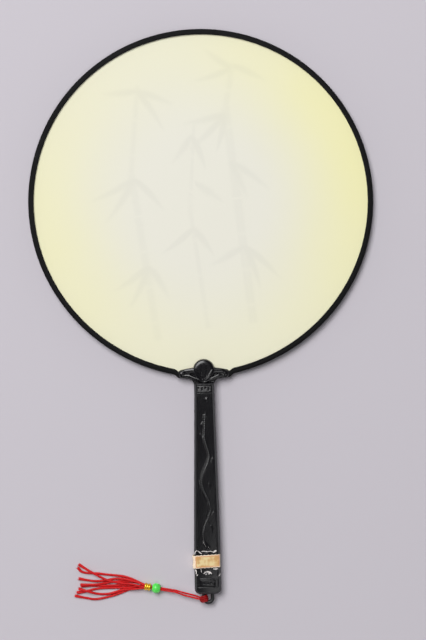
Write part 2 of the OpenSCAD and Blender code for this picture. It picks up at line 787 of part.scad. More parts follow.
module cord_leg_lower() {
    color(cord_red) from_loop() cord(leg_lower_route, cord_d);
}

// Turns a piece drawn along +Z to lie on the straight cord, at a distance from its start
module on_thread(distance) {
    from_loop()
        translate(thread_start + distance * thread_dir)
            rotate([0, acos(thread_dir[2]), atan2(thread_dir[1], thread_dir[0])])
                children();
}

module green_bead() {
    color(bead_green) on_thread(bead_place)
        difference() {
            intersection() {
                sphere(d = bead_d, $fn = round_fn);
                translate([0, 0, -bead_len / 2])
                    cylinder(d = bead_d + overrun, h = bead_len, $fn = round_fn);
            }
            translate([0, 0, -bead_d / 2])
                cylinder(d = bead_bore_d, h = bead_d, $fn = round_fn);
        }
}

// Gold cap: a cup with two round ribs, bored for the cord at its closed end
module gold_cap() {
    rib_len = cap_len / 2;
    color(cap_gold) on_thread(cap_place)
        difference() {
            rotate_extrude($fn = round_fn)
                polygon([
                    [0, -rib_len], [cap_waist_d / 2, -rib_len], [cap_d / 2, -0.8 * rib_len],
                    [cap_d / 2, -0.3 * rib_len], [cap_waist_d / 2, -0.1 * rib_len],
                    [cap_waist_d / 2, 0.1 * rib_len], [cap_d / 2, 0.3 * rib_len],
                    [cap_d / 2, 0.8 * rib_len], [cap_waist_d / 2, rib_len], [0, rib_len]
                ]);
            translate([0, 0, -cap_len])
                cylinder(d = bead_bore_d, h = 2 * cap_len, $fn = round_fn);
            translate([0, 0, rib_len - cup_depth])
                cylinder(d = cup_d, h = cap_len, $fn = round_fn);
        }
}

module strand(i) {
    color(cord_red) from_loop() growing_cord(strand_routes[i]);
}

hoop_wire();
leaf_front();
leaf_back();
edge_binding();
handle_front();
handle_back();
hang_loop();
paper_band();
cow_hitch();
cord_leg_upper();
cord_leg_lower();
green_bead();
gold_cap();
strand(0);  // strand_1
strand(1);  // strand_2
strand(2);  // strand_3
strand(3);  // strand_4
strand(4);  // strand_5
strand(5);  // strand_6
strand(6);  // strand_7
strand(7);  // strand_8
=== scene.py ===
"""Looks of the round hand fan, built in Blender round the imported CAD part.

Every piece is a surface written as a formula over a grid of points, in the row frame. Inside
a section lengths are in millimetres about a named middle, and put() turns them to metres.
"""

import math

import bmesh
import bpy
import numpy as np
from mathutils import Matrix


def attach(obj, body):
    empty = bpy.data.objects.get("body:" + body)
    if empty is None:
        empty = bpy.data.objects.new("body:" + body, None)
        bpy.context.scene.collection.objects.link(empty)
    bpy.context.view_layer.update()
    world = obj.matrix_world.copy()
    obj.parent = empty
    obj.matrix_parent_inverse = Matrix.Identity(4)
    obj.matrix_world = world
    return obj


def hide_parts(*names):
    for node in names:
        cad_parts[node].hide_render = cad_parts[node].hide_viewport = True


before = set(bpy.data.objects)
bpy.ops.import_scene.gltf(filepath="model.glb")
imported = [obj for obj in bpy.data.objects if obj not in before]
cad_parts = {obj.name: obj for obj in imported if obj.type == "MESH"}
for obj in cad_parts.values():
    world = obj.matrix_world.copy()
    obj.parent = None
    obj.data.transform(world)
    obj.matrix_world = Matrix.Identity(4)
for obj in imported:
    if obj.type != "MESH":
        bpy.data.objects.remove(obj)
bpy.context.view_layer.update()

# Camera: straight above the fan, rolled by the 1.1 degrees that the fan's axis leans in the
# photo. A 100 mm lens on a 36 mm frame takes in 482 mm by 321 mm at the height of the leaf.
camera = bpy.data.objects.new("camera", bpy.data.cameras.new("camera"))
camera.data.lens = 100
camera.data.sensor_width = 36
camera.data.clip_start = 0.05
camera.location = (0.0076, -0.00275, 1.3447)
camera.rotation_euler = (0, 0, math.radians(-1.1))
bpy.context.scene.collection.objects.link(camera)
bpy.context.scene.camera = camera


# Tassel cord: red braided nylon, 1.25 mm thick in the two hanging legs, and in the skirt's eight
# strands 1.3 mm in the cap and 1.6 mm past it, where the braid is looser. Each cord is a tube
# round its route in the photo, with the braid's bumps on it.
HOOP_MIDDLE = (0.0, 86.75, 5.0)
LOOP_MIDDLE = (0.0, -212.05, 0.0)
UP = np.array([0, 0, 1])
BRAID_SIDES, BRAID_PITCH = 24, 1.6


def linear(colour):
    """An sRGB hex colour as the linear colour that a shader takes."""
    parts = [int(colour[i : i + 2], 16) / 255 for i in (1, 3, 5)]
    return [c / 12.92 if c <= 0.04045 else ((c + 0.055) / 1.055) ** 2.4 for c in parts] + [1.0]


def shader(name, colour, roughness, **inputs):
    """A material with one Principled shader, the function that adds a node to it, and the one
    that sets the shader's inputs, with _ for a space in their names.

    add(kind, {input: value or socket}, setting=...) gives the new node."""
    material = bpy.data.materials.new(name)
    material.use_nodes = True
    tree = material.node_tree

    def fill(node, values):
        for key, value in values.items():
            if isinstance(value, bpy.types.NodeSocket):
                tree.links.new(value, node.inputs[key])
            else:
                node.inputs[key].default_value = value
        return node

    def add(kind, values, **settings):
        node = tree.nodes.new("ShaderNode" + kind)
        for key, value in settings.items():
            setattr(node, key, value)
        return fill(node, values)

    def finish(**values):
        main = tree.nodes["Principled BSDF"]
        fill(main, {key.replace("_", " "): value for key, value in values.items()})

    finish(Base_Color=linear(colour), Roughness=roughness, **inputs)
    return material, add, finish


def noise(add, scale, detail):
    """Noise from 0 to 1 over the object's own coordinates."""
    place = add("TexCoord", {}).outputs["Object"]
    return add("TexNoise", {"Vector": place, "Scale": scale, "Detail": detail}).outputs[0]


def blend(add, factor, low, high, **settings):
    """The colour from low to high at a factor."""
    return add("Mix", {"Factor": factor, 6: low, 7: high}, data_type="RGBA", **settings).outputs[2]


def relief(add, height, strength, distance):
    """The normal of a surface bumped by a height."""
    return add("Bump", {"Height": height, "Strength": strength, "Distance": distance}).outputs[0]


def ramp(x, low, high):
    """0 below low, 1 above high, and a smooth rise between them."""
    t = np.clip((x - low) / (high - low), 0, 1)
    return t * t * (3 - 2 * t)


def quads(rows, cols, round_cols=False, flip=False):
    """Four-sided faces over a grid of points numbered row by row."""
    i, j = np.meshgrid(np.arange(rows - 1), np.arange(cols - (not round_cols)), indexing="ij")
    k = (j + 1) % cols
    faces = np.stack([i * cols + j, i * cols + k, (i + 1) * cols + k, (i + 1) * cols + j], -1)
    faces = faces.reshape(-1, 4)
    return (faces[:, ::-1] if flip else faces).tolist()


def closed_rings(rows, cols, flip=False):
    """Faces over rings of points, with a many-sided one that closes each end."""
    first, last = list(range(cols)), list(range((rows - 1) * cols, rows * cols))
    ends = [first, last[::-1]] if flip else [first[::-1], last]
    return quads(rows, cols, round_cols=True, flip=flip) + ends


def put(
    name, points, faces, material, body, slot, replaces=(), uv=None, middle=HOOP_MIDDLE, fields=()
):
    """A welded mesh from points in millimetres about a middle, riding on a CAD body.

    Its quads are smooth and its many-sided end caps flat. fields are values on its points."""
    mesh = bpy.data.meshes.new(name)
    placed = (np.asarray(points, float).reshape(-1, 3) + middle) * 0.001
    mesh.from_pydata(placed.tolist(), [], faces)
    mesh.polygons.foreach_set("use_smooth", [len(face) == 4 for face in faces])
    for label, values in fields:
        attribute = mesh.attributes.new(label, "FLOAT", "POINT")
        attribute.data.foreach_set("value", values.astype(np.float32).ravel())
    if uv is not None:
        layer = mesh.uv_layers.new(name="UVMap")
        corner = np.zeros(len(mesh.loops), int)
        mesh.loops.foreach_get("vertex_index", corner)
        layer.data.foreach_set("uv", np.asarray(uv, float).reshape(-1, 2)[corner].ravel())
    mesh.materials.append(material)
    welded = bmesh.new()
    welded.from_mesh(mesh)
    bmesh.ops.remove_doubles(welded, verts=welded.verts, dist=1e-6)
    welded.to_mesh(mesh)
    welded.free()
    made = bpy.data.objects.new(name, mesh)
    bpy.context.scene.collection.objects.link(made)
    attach(made, body)
    if replaces:
        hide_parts(*replaces)
    return made


def travelled(line):
    """The way gone along a line at each of its points."""
    return np.concatenate([[0], np.cumsum(np.linalg.norm(np.diff(line, axis=0), axis=1))])


def spline(points, step):
    """Points about one step apart along a smooth curve through the given ones."""
    p = np.asarray(points, float)
    p = np.vstack([2 * p[0] - p[1], p, 2 * p[-1] - p[-2]])
    out = []
    for a, b, c, d in zip(p, p[1:], p[2:], p[3:]):
        t = np.arange(0, 1, step / np.linalg.norm(c - b))[:, None]
        bend = 2 * a - 5 * b + 4 * c - d + t * (3 * b - a - 3 * c + d)
        out.append(b + 0.5 * t * (c - a + t * bend))
    return np.vstack(out + [p[-2:-1]])


def tube(line, radius, sides):
    """Rings round a line, carried along it without turning, with a rounded cap at each end.

    radius is one number, or one for each point of the line and each side."""
    line = np.asarray(line, float)
    n = len(line)
    along = np.gradient(line, axis=0)
    along /= np.linalg.norm(along, axis=1)[:, None]
    side = np.zeros((n, 3))
    first = np.cross(along[0], [0.12, 0.2, 0.97])
    side[0] = first / np.linalg.norm(first)
    for i in range(1, n):
        s = side[i - 1] - along[i] * (side[i - 1] @ along[i])
        side[i] = s / np.linalg.norm(s)
    up = np.cross(along, side)
    turn = np.linspace(0, 2 * math.pi, sides, endpoint=False)
    cos, sin = np.cos(turn)[None, :, None], np.sin(turn)[None, :, None]
    radius = np.broadcast_to(radius, (n, sides))[:, :, None]
    rings = line[:, None] + radius * (cos * side[:, None] + sin * up[:, None])
    uv = np.broadcast_arrays(travelled(line)[:, None], (turn / (2 * math.pi))[None, :])
    uv = np.stack(uv, -1)

    def cap(i, out, share):
        """A share of the ring at an end, set out along the line as on a rounded end."""
        return line[i] + (rings[i] - line[i]) * share + out * (1 - share) * radius[i] * 0.4

    start = [cap(0, -along[0], share) for share in (0.15, 0.75)]
    end = [cap(-1, along[-1], share) for share in (0.75, 0.15)]
    rings = np.stack([*start, *rings, *end])
    uv = np.concatenate([uv[:1]] * 2 + [uv] + [uv[-1:]] * 2)
    return rings.reshape(-1, 3), closed_rings(len(rings), sides), uv.reshape(-1, 2)


def braided(route, radius, low, loose=0.0, flare=0.0):
    """A braided cord along a route, kept above the rest plane.

    At the way s along it and the turn a about it, its radius is
    radius (1 + 0.035 cos(8 a + 2 pi s / 1.6) cos(8 a - 2 pi s / 1.6)), which grows by the share
    loose from 8 mm to 20 mm and by the share flare in the last 7 mm."""
    line = spline(route, 0.16)
    line[:, 2] = np.maximum(line[:, 2], low)
    s = travelled(line)[:, None]
    a = np.linspace(0, 2 * math.pi, BRAID_SIDES, endpoint=False)[None, :]
    phase = 2 * math.pi * s / BRAID_PITCH
    wide = 1 + 0.035 * (np.cos(8 * a + phase) * np.cos(8 * a - phase))
    wide = wide + loose * np.clip((s - 8) / 12, 0, 1) + flare * ramp(s, s.max() - 7, s.max())
    points, faces, uv = tube(line, radius * wide, BRAID_SIDES)
    points[:, 2] = np.maximum(points[:, 2], 0.01)
    return line, s.max(), (points, faces, uv)


cord_red, add, finish_cord = shader(
    "braided_nylon", "#cc0a10", 0.55, IOR=1.5, Specular_IOR_Level=0.3
)
grain = noise(add, 900.0, 3.0)
finish_cord(
    Base_Color=blend(add, grain, linear("#a3030c"), linear("#e50d10")),
    Normal=relief(add, grain, 0.25, 0.0001),
)
leg_routes = {
    "cord_leg_upper": [
        (-5.8, 0.4, 4.95), (-8.2, 1.25, 4.93), (-10.5, 2.1, 4.85), (-14, 3.1, 4.7),
        (-17.8, 4.05, 4.5), (-21, 5.0, 4.35), (-24.4, 6, 4.23), (-29.4, 6.87, 4.08),
        (-34.4, 7.75, 3.93), (-39.4, 8.62, 3.78), (-44.4, 9.5, 3.63),
    ],
    "cord_leg_lower": [
        (-5.8, -0.9, 4.95), (-8.2, -0.35, 4.93), (-10.5, 0.3, 4.85), (-14, 1.2, 4.7),
        (-17.9, 2.25, 4.5), (-21.2, 3.45, 4.35), (-24.6, 4.7, 4.23), (-29.6, 5.57, 4.08),
        (-34.6, 6.45, 3.93), (-39.6, 7.32, 3.78), (-44.6, 8.2, 3.63),
    ],
}
strand_routes = [
    [
        (-44.8, 10.5, 3.6), (-48.5, 11.15, 3.5), (-52.5, 13, 2.8), (-59, 15.6, 1.5),
        (-65, 17.1, 0.85), (-76.5, 18.5, 0.85), (-82.5, 19.4, 0.85), (-90.5, 19.9, 0.85),
        (-95.2, 21, 0.85), (-98.1, 23.9, 0.85),
    ],
    [
        (-44.9, 9.95, 4.85), (-48.6, 10.6, 4.75), (-52.5, 12.3, 4.2), (-58.5, 14.2, 3.1),
        (-65, 15.1, 1.6), (-70.5, 15.25, 0.85), (-77.5, 14.05, 0.85), (-84.5, 13.65, 0.85),
        (-90.5, 14.4, 0.85), (-97.3, 15.7, 0.85),
    ],
    [
        (-44.9, 9.95, 2.35), (-48.6, 10.6, 2.25), (-52.5, 11.7, 1.7), (-58.5, 12.75, 0.85),
        (-64.5, 13.2, 0.85), (-70.5, 12.95, 0.85), (-77.5, 12.15, 1.1), (-83.5, 11.35, 2.15),
        (-89.5, 11.25, 2.2), (-95.9, 11.25, 2.2),
    ],
    [
        (-45.2, 8.6, 5.15), (-48.8, 9.25, 5.05), (-52.5, 10.1, 4.6), (-58.5, 11.3, 2.95),
        (-65.5, 12.05, 2.55), (-70.5, 12.95, 2.55), (-75.5, 14.35, 2.55), (-80.5, 16.6, 2.55),
        (-84, 18.6, 2.6), (-88.5, 21.1, 2.6), (-92.5, 23.4, 1.4), (-97.1, 26.3, 0.85),
    ],
    [
        (-45.2, 8.6, 2.05), (-48.8, 9.25, 1.95), (-52.5, 9.8, 1.3), (-58.5, 9.95, 0.85),
        (-64.5, 10.25, 0.85), (-71.5, 10.15, 0.85), (-78.5, 10.05, 0.85), (-83.5, 10.25, 0.85),
        (-89.5, 10.25, 0.85), (-95.7, 10.15, 0.85),
    ],
    [
        (-45.1, 8.95, 3.6), (-48.7, 9.6, 3.5), (-52.5, 9.4, 3), (-58.5, 8.65, 2.19),
        (-64.5, 8.45, 1.09), (-71.5, 8.45, 0.85), (-78.5, 8.35, 0.85), (-84.5, 7.85, 0.85),
        (-89.5, 6.85, 0.85), (-94, 5.65, 0.85), (-99, 5.35, 0.85),
    ],
    [
        (-45.3, 7.55, 4.3), (-48.9, 8.2, 4.2), (-52.5, 7.85, 3.9), (-58.5, 7.35, 2.95),
        (-64.5, 6.9, 1.75), (-73, 4.35, 0.85), (-79, 3.75, 0.85), (-84, 4.3, 1.3),
        (-88.5, 5.55, 2.55), (-93, 6.95, 2.55), (-97.5, 8.1, 1),
    ],
    [
        (-45.3, 7.55, 2.9), (-48.9, 8.2, 2.8), (-52.5, 7.9, 2.2), (-58.5, 7, 0.85),
        (-64, 5.3, 0.85), (-69.8, 3.2, 0.85), (-75.5, 1.65, 0.85), (-81.5, 0.45, 0.85),
        (-86.5, 0.05, 0.85), (-92, 1.05, 0.85), (-100.4, 2.85, 0.85),
    ],
]
cords = {}
for name, route in leg_routes.items():
    line, length, (points, faces, uv) = braided(route, radius=0.625, low=0.65)
    piece = put(name + "_braid", points, faces, cord_red, "tassel", "cord", [name], uv, LOOP_MIDDLE)
    cords[name] = (piece, line, length, 0.00125)
for number, route in enumerate(strand_routes, 1):
    name = f"strand_{number}"
    line, length, (points, faces, uv) = braided(
        route, radius=0.64, low=0.82, loose=0.33, flare=0.42
    )
    piece = put(name + "_braid", points, faces, cord_red, "tassel", "cord", [name], uv, LOOP_MIDDLE)
    cords[name] = (piece, line, length, 0.0016)


# Cut ends: each strand opens into loose filaments, under 0.1 mm thick and up to 1.4 mm long,
# that splay out from its last ring. They are part of the strands and are melted to nothing else.
HAIRS, HAIR_RADII = 26, [[0.045], [0.04], [0.032], [0.02]]


def gather(parts):
    """The points and faces of several meshes as those of one."""
    points, faces, base = [], [], 0
    for part_points, part_faces in parts:
        points.append(part_points)
        faces += [[v + base for v in face] for face in part_faces]
        base += len(part_points)
    return np.vstack(points), faces


rng = np.random.default_rng(4)
hairs = []
for number in range(1, len(strand_routes) + 1):
    line = cords[f"strand_{number}"][1]
    ahead = line[-1] - line[-6]
    ahead /= np.linalg.norm(ahead)
    side = np.cross(ahead, UP)
    for _ in range(HAIRS):
        a, r = rng.uniform(0, 2 * math.pi), math.sqrt(rng.uniform())
        out = math.cos(a) * side + math.sin(a) * UP
        reach = rng.uniform(0.5, 1.4)
        base = line[-1] + out * r - ahead * 0.2
        hair = [base + ahead * reach * t + out * r * 0.55 * t**2 for t in (0, 0.4, 0.75, 1)]
        hair = np.array(hair)
        hair[:, 2] = np.maximum(hair[:, 2], 0.05)
        hairs.append(tube(hair, HAIR_RADII, 5)[:2])
points, faces = gather(hairs)
cut_ends = put("strand_cut_ends", points, faces, cord_red, "tassel", "cord", middle=LOOP_MIDDLE)


# Knot: a hitch of the same cord on the hang loop, pulled tight. Its cord is painted darker than the
# rest of the cord: painted shade for the shadow between its turns. Four turns lie side by side in
# planes across the loop's bar, and a short bight crosses over the two legs where they leave.
LOOP_R, LOOP_Z = 3.25, 5
outward = np.array([math.cos(math.radians(190)), math.sin(math.radians(190)), 0])
bar = np.array([-outward[1], outward[0], 0])


def knot_turn(beside):
    """A turn of cord across the loop's bar, at a distance beside the knot's middle: an ellipse
    about the bar that leans sideways by 0.2 mm and reaches further on the inside."""
    a = np.linspace(0, 2 * math.pi, 72)[:, None]
    reach = np.where(np.cos(a) > 0, 2.2, 2.95) - 0.12 * beside**2
    high = 2.4 - 0.12 * beside**2
    side = beside + 0.2 * np.cos(a)
    across = (LOOP_R + reach * np.cos(a)) * outward + side * bar
    return across + (LOOP_Z + high * np.sin(a)) * UP


# The knot's darker reds, and the dark end of its noise, are painted shade for the shadow between
# its turns.
knot_red_painted_shade, add, finish_knot = shader("knot_nylon_painted_shade", "#8e060c", 0.5, IOR=1.5, Specular_IOR_Level=0.3)
tight = noise(add, 700.0, 3.0)
finish_knot(
    Base_Color=blend(add, tight, linear("#5c0106"), linear("#b4060b")),
    Normal=relief(add, tight, 0.4, 0.0002),
)
places = [(4.7, -1.9, 5.6), (5.6, -1.5, 5.9), (6.0, -0.6, 6.2)]
places += [(x, -y, z) for x, y, z in places[::-1]]
bight = spline([outward * x + bar * y + UP * z for x, y, z in places], 0.2)
turns = []
for line in [*map(knot_turn, (-1.9, -0.7, 0.7, 1.9)), bight]:
    twist = 2 * math.pi * travelled(line)[:, None] / 0.9 + np.linspace(0, 4 * math.pi, 20)[None, :]
    turns.append(tube(line, 0.62 * (1 + 0.05 * np.cos(twist)), 20)[:2])
points, faces = gather(turns)
knot = put(
    "cow_hitch_turns", points, faces, knot_red_painted_shade, "hitch", "cord", ["cow_hitch"], middle=LOOP_MIDDLE
)


# Green bead: glossy plastic, 7.5 mm across and 6.3 mm long, drilled 2.85 mm, with the bore's
# edges rounded in the tumbling barrel. It slides on the doubled cord.
THREAD_START, BEAD_AT = np.array([-24.5, 5.35, 4.23]), 14.8
thread_way = np.array([-44.5, 8.85, 3.63]) - THREAD_START
thread_way /= np.linalg.norm(thread_way)


def lathe(profile, place, axis, steps):
    """A closed profile of (distance along the axis, radius) points turned round the axis."""
    axis = np.asarray(axis, float) / np.linalg.norm(axis)
    side = np.cross(axis, UP)
    side /= np.linalg.norm(side)
    up = np.cross(side, axis)
    turn = np.linspace(0, 2 * math.pi, steps, endpoint=False)
    profile = np.asarray([*profile, profile[0]], float)
    spokes = np.cos(turn)[None, :, None] * side + np.sin(turn)[None, :, None] * up
    points = place + profile[:, None, :1] * axis + profile[:, None, 1:2] * spokes
    return points.reshape(-1, 3), quads(len(profile), steps, round_cols=True)


def arc(middle, radius, start, end, count):
    """(along, out) points on a circle's arc, angles in degrees from the +along direction."""
    a = np.radians(np.linspace(start, end, count))
    return np.stack([middle[0] + radius * np.cos(a), middle[1] + radius * np.sin(a)], -1)


bead_green, add, finish_bead = shader("bead_plastic", "#58dc56", 0.3, IOR=1.5)
finish_bead(Subsurface_Weight=0.35, Subsurface_Radius=(0.6, 1.0, 0.6), Subsurface_Scale=0.0012)
ball = arc((0, 0), 3.74, 34, 146, 40)
profile = [*ball, *arc((-2.75, 1.85), 0.42, 150, 270, 8), *arc((2.75, 1.85), 0.42, 270, 390, 8)]
points, faces = lathe(profile, THREAD_START + BEAD_AT * thread_way, thread_way, 64)
green_bead = put(
    "green_bead_ball", points, faces, bead_green, "bead", "green_bead", ["green_bead"],
    middle=LOOP_MIDDLE,
)


# Gold cap: metallised plastic, 4.8 mm long, two rounded ribs with a groove between them, a
# closed end drilled for the cord and a cup at the other end that holds the strands' tops.
CAP_AT, CAP_STEPS, FLUTES = 21.3, 72, 24


def scaled(add, value, start=(0, 1), end=(0, 1)):
    """A value mapped from one span to another, and held at its ends."""
    spans = {"From Min": start[0], "From Max": start[1], "To Min": end[0], "To Max": end[1]}
    return add("MapRange", {"Value": value, **spans}).outputs[0]


cap_gold, add, finish_cap = shader("metallised_plastic", "#f2bd3a", 0.2, Metallic=1.0)
finish_cap(Roughness=scaled(add, noise(add, 1500.0, 2.0), end=(0.15, 0.35)))
profile = [
    (-2.3, 1.5), *arc((-1.35, 1.75), 1.02, 180, 25, 18), (-0.2, 2.36),
    (0.2, 2.36), *arc((1.35, 1.75), 1.02, 155, 20, 18), (2.4, 2.3),
    (-1.4, 2.28), (-1.4, 1.43), (-2.2, 1.43),
]
points, faces = lathe(profile[::-1], THREAD_START + CAP_AT * thread_way, thread_way, CAP_STEPS)
turn = np.linspace(0, 2 * math.pi, CAP_STEPS, endpoint=False)
flute = 1 + 0.012 * np.cos(FLUTES * turn)
grid = points.reshape(-1, CAP_STEPS, 3)
middle_line = grid.mean(1, keepdims=True)
points = middle_line + (grid - middle_line) * flute[None, :, None]
gold_cap = put(
    "gold_cap_ribbed", points, faces, cap_gold, "tassel", "gold_cap", ["gold_cap"],
    middle=LOOP_MIDDLE,
)


# Silk leaves: two discs of plain-woven silk, 0.35 mm thick with their size and glue, stretched
# over the wire and yellowed towards the rim, most at its right and left. The cloth has a slack
# of 0.05 mm that fades at the rim. Ink strokes and yellowing are held in point attributes.
LEAF_TURNS, LEAF_RINGS = 480, 103


def leaf_edge(turn):
    """Radius of the leaf's edge at a turn from straight down: round, fuller beside the handle."""
    fuller = np.abs((turn + math.pi) % (2 * math.pi) - math.pi)
    away = np.radians(60) - np.minimum(fuller, np.radians(60))
    dip = 1.9 * np.exp(-(((np.degrees(fuller) - 8.3) / 1.1) ** 2))
    return 126.9 + 5.5 * (1 - np.cos(away)) + dip


def ink_sprays(x, y):
    """How dark the ink is at a point: bamboo stalks with their nodes, and pointed leaves."""
    ink = np.zeros_like(x)
    for foot, top, wide in [
        ((38, -92), (20, 70), 3.4), ((20, 70), (26, 104), 2.2), ((-34, -104), (-52, 22), 2.8),
        ((-52, 22), (-46, 88), 1.9), ((4, -96), (-8, -6), 1.7), ((-8, -6), (-4, 58), 1.3),
    ]:
        foot, way = np.array(foot, float), np.subtract(top, foot)
        long = np.linalg.norm(way)
        t = ((x - foot[0]) * way[0] + (y - foot[1]) * way[1]) / long**2
        off = np.abs((x - foot[0]) * way[1] - (y - foot[1]) * way[0]) / long
        joint = np.abs((t * long / 27) % 1 - 0.5) * 27
        body = (1 - ramp(off, wide * 0.75, wide)) * ((t > 0) & (t < 1)) * (0.45 + 0.3 * off / wide)
        ink = np.maximum(ink, body * ramp(joint, 0.5, 1.1))
    for px, py, heading, long in [
        (20, 66, 200, 34), (20, 66, 232, 40), (20, 66, 262, 30), (22, 30, -28, 38),
        (22, 30, -58, 32), (25, 100, 150, 26), (25, 100, 205, 30), (26, 102, -20, 28),
        (-50, 18, 215, 36), (-50, 18, 245, 40), (-50, 18, -40, 34), (-47, 84, -15, 30),
        (-47, 84, -48, 36), (-47, 84, 190, 26), (-40, -48, 222, 32), (-40, -48, 252, 36),
        (-40, -48, -52, 30), (32, -34, -35, 38), (32, -34, -62, 34), (32, -34, 215, 30),
        (-6, 50, 240, 26), (-6, 50, -62, 28), (-4, 14, -30, 26), (-6, -20, 225, 30),
        (-6, -20, -48, 26),
    ]:
        a = math.radians(heading)
        along = (x - px) * math.cos(a) + (y - py) * math.sin(a)
        across = -(x - px) * math.sin(a) + (y - py) * math.cos(a) + 0.004 * along**2
        t = np.clip(along / long, 0, 1)
        half = 2.9 * np.sin(math.pi * t**0.7) ** 0.8 * (1 - 0.25 * t)
        leaf = (1 - ramp(np.abs(across), half * 0.7, half + 0.3)) * ((along > 0) & (along < long))
        ink = np.maximum(ink, leaf * (0.95 - 0.35 * t))
    return ink


def maths(add, operation, *values):
    """The result of an operation on one or two values."""
    return add("Math", dict(enumerate(values)), operation=operation).outputs[0]


def silk_leaf(name, side, strength, soft):
    """One leaf on its side of the parting plane: rings at a share q of its edge, with the slack
    0.05 (1 - q^4) (sin(x / 17 + 1) sin(y / 23) + 0.5 sin(x / 9 - y / 13)).

    strength is how far the ink darkens it, and soft spreads the ink to the points beside it."""
    turn = np.linspace(0, 2 * math.pi, LEAF_TURNS, endpoint=False)[None, :]
    share = np.linspace(0, 1, LEAF_RINGS)[:, None] ** 0.85
    r = share * leaf_edge(turn)
    x, y = r * np.sin(turn), -r * np.cos(turn)
    wave = np.sin(x / 17 + 1) * np.sin(y / 23) + 0.5 * np.sin(x / 9 - y / 13)
    slack = 0.05 * (1 - share**4) * wave
    outer = np.stack([x, y, side * (0.37 + slack * side)], -1)
    inner = np.stack([x, y, side * (0.03 + slack * side)], -1)
    points = np.concatenate([outer, inner[::-1]])
    faces = quads(len(points), LEAF_TURNS, round_cols=True, flip=side > 0)
    material, add, finish_silk = shader(name + "_silk", "#efeada", 0.75, IOR=1.54)
    aged = add("Attribute", {}, attribute_name="yellow").outputs["Fac"]
    patchy = maths(add, "MULTIPLY", aged, scaled(add, noise(add, 14.0, 3.0), end=(0.8, 1.2)))
    tone = blend(add, patchy, linear("#e6e4d7"), linear("#eeeab4"))
    place = add("TexCoord", {}).outputs["Object"]
    thread = {"Vector": place, "Scale": 480.0, "Distortion": 0.6}
    warp, weft = (add("TexWave", thread, bands_direction=way).outputs[1] for way in "XY")
    weave = maths(add, "MULTIPLY", warp, weft)
    slub = scaled(add, weave, end=(0.97, 1.03))
    woven = blend(add, 1.0, tone, slub, blend_type="MULTIPLY")
    brush = add("Attribute", {}, attribute_name="ink").outputs["Fac"]
    inked = blend(add, maths(add, "MULTIPLY", brush, strength), woven, linear("#3a3f45"))
    bumped = relief(add, weave, 0.12, 0.00008)
    finish_silk(Base_Color=inked, Normal=bumped, Sheen_Weight=0.12)
    ink = ink_sprays(x, y)
    if soft:
        beside = [np.roll(ink, step, axis) for axis in (1, 0) for step in (1, -1)]
        ink = (ink + beside[0] + beside[1] + beside[2] + beside[3]) / 5
    way = (0.966 * x + 0.259 * y) / np.maximum(r, 1e-6)
    yellow = ramp(r, 42, 122) * (0.33 + 0.17 * way + 0.5 * way**2)
    fields = [
        (label, np.concatenate([values, values[::-1]]))
        for label, values in (("ink", ink), ("yellow", yellow))
    ]
    piece = put(name + "_silk", points, faces, material, "fan", "silk", [name], fields=fields)


silk_leaf("leaf_front", 1, 0.06, True)
silk_leaf("leaf_back", -1, 0.85, False)


# Edge binding: black coated tape, folded over the wire and glued to both leaves. Its section
# is a half round of 4 mm on the outside and two turned edges on the leaf, 4.2 mm from the rim.
# Just outside each wing tip the tape is pulled 2.2 mm down to where it enters the handle.
HOOP_R, SHOULDER_R, SHOULDER_TURN = 130, 135.5, 60


def hoop_path(stop, step):
    """Points on the hoop's outer edge and their outward directions, from wing to wing."""
    lean = math.radians(SHOULDER_TURN)
    centre = (SHOULDER_R - HOOP_R) * np.array([-math.sin(lean), math.cos(lean)])
    low = np.radians(np.arange(stop, SHOULDER_TURN, step))[:, None]
    top = np.radians(np.arange(SHOULDER_TURN, 360 - SHOULDER_TURN, step))[:, None]
    way = np.hstack([np.sin(low), -np.cos(low)])
    right = np.hstack([centre + SHOULDER_R * way, way])
    way = np.hstack([np.sin(top), -np.cos(top)])
    ring = np.hstack([HOOP_R * way, way])
    left = right[::-1] * [-1, 1, -1, 1]
    return np.vstack([right, ring, left])


tape_black, add, finish_tape = shader(
    "coated_tape", "#0a0a0b", 0.7, IOR=1.5, Specular_IOR_Level=0.15
)
creases = noise(add, 90.0, 2.0)
both = maths(add, "ADD", noise(add, 700.0, 4.0), creases)
finish_tape(
    Normal=relief(add, both, 0.35, 0.0002), Roughness=scaled(add, creases, end=(0.6, 0.8))
)
path = hoop_path(6.8, 0.35)
section = np.vstack([
    arc((-2, 0), 2, -90, 90, 17),
    [(-3, 1.99), (-3.6, 1.97)],
    arc((-3.7, 1.5), 0.48, 90, 180, 6),
    [(-4.18, 0.6), (-4.1, 0.42), (-3, 0.42), (-3, -0.42), (-4.1, -0.42), (-4.18, -0.6)],
    arc((-3.7, -1.5), 0.48, 180, 270, 6),
    [(-3.6, -1.97), (-3, -1.99)],
])
steps = np.arange(len(path))[:, None]
pucker = 0.05 * np.sin(steps * 0.9) * np.sin(steps * 0.37) * (section[:, 0] < -3)[None, :]
depth = section[None, :, 0] + pucker
points = np.concatenate([
    path[:, None, :2] + depth[:, :, None] * path[:, None, 2:],
    np.broadcast_to(section[:, 1], depth.shape)[:, :, None],
], -1)
dip = 2.2 * np.exp(-(((np.abs(path[:, 0]) - 18.9) / 2.3) ** 2)) * (path[:, 1] < 0)
points[:, :, 1] -= dip[:, None]
faces = closed_rings(len(path), len(section), flip=True)
put("edge_binding_tape", points, faces, tape_black, "fan", "binding", ["edge_binding"])


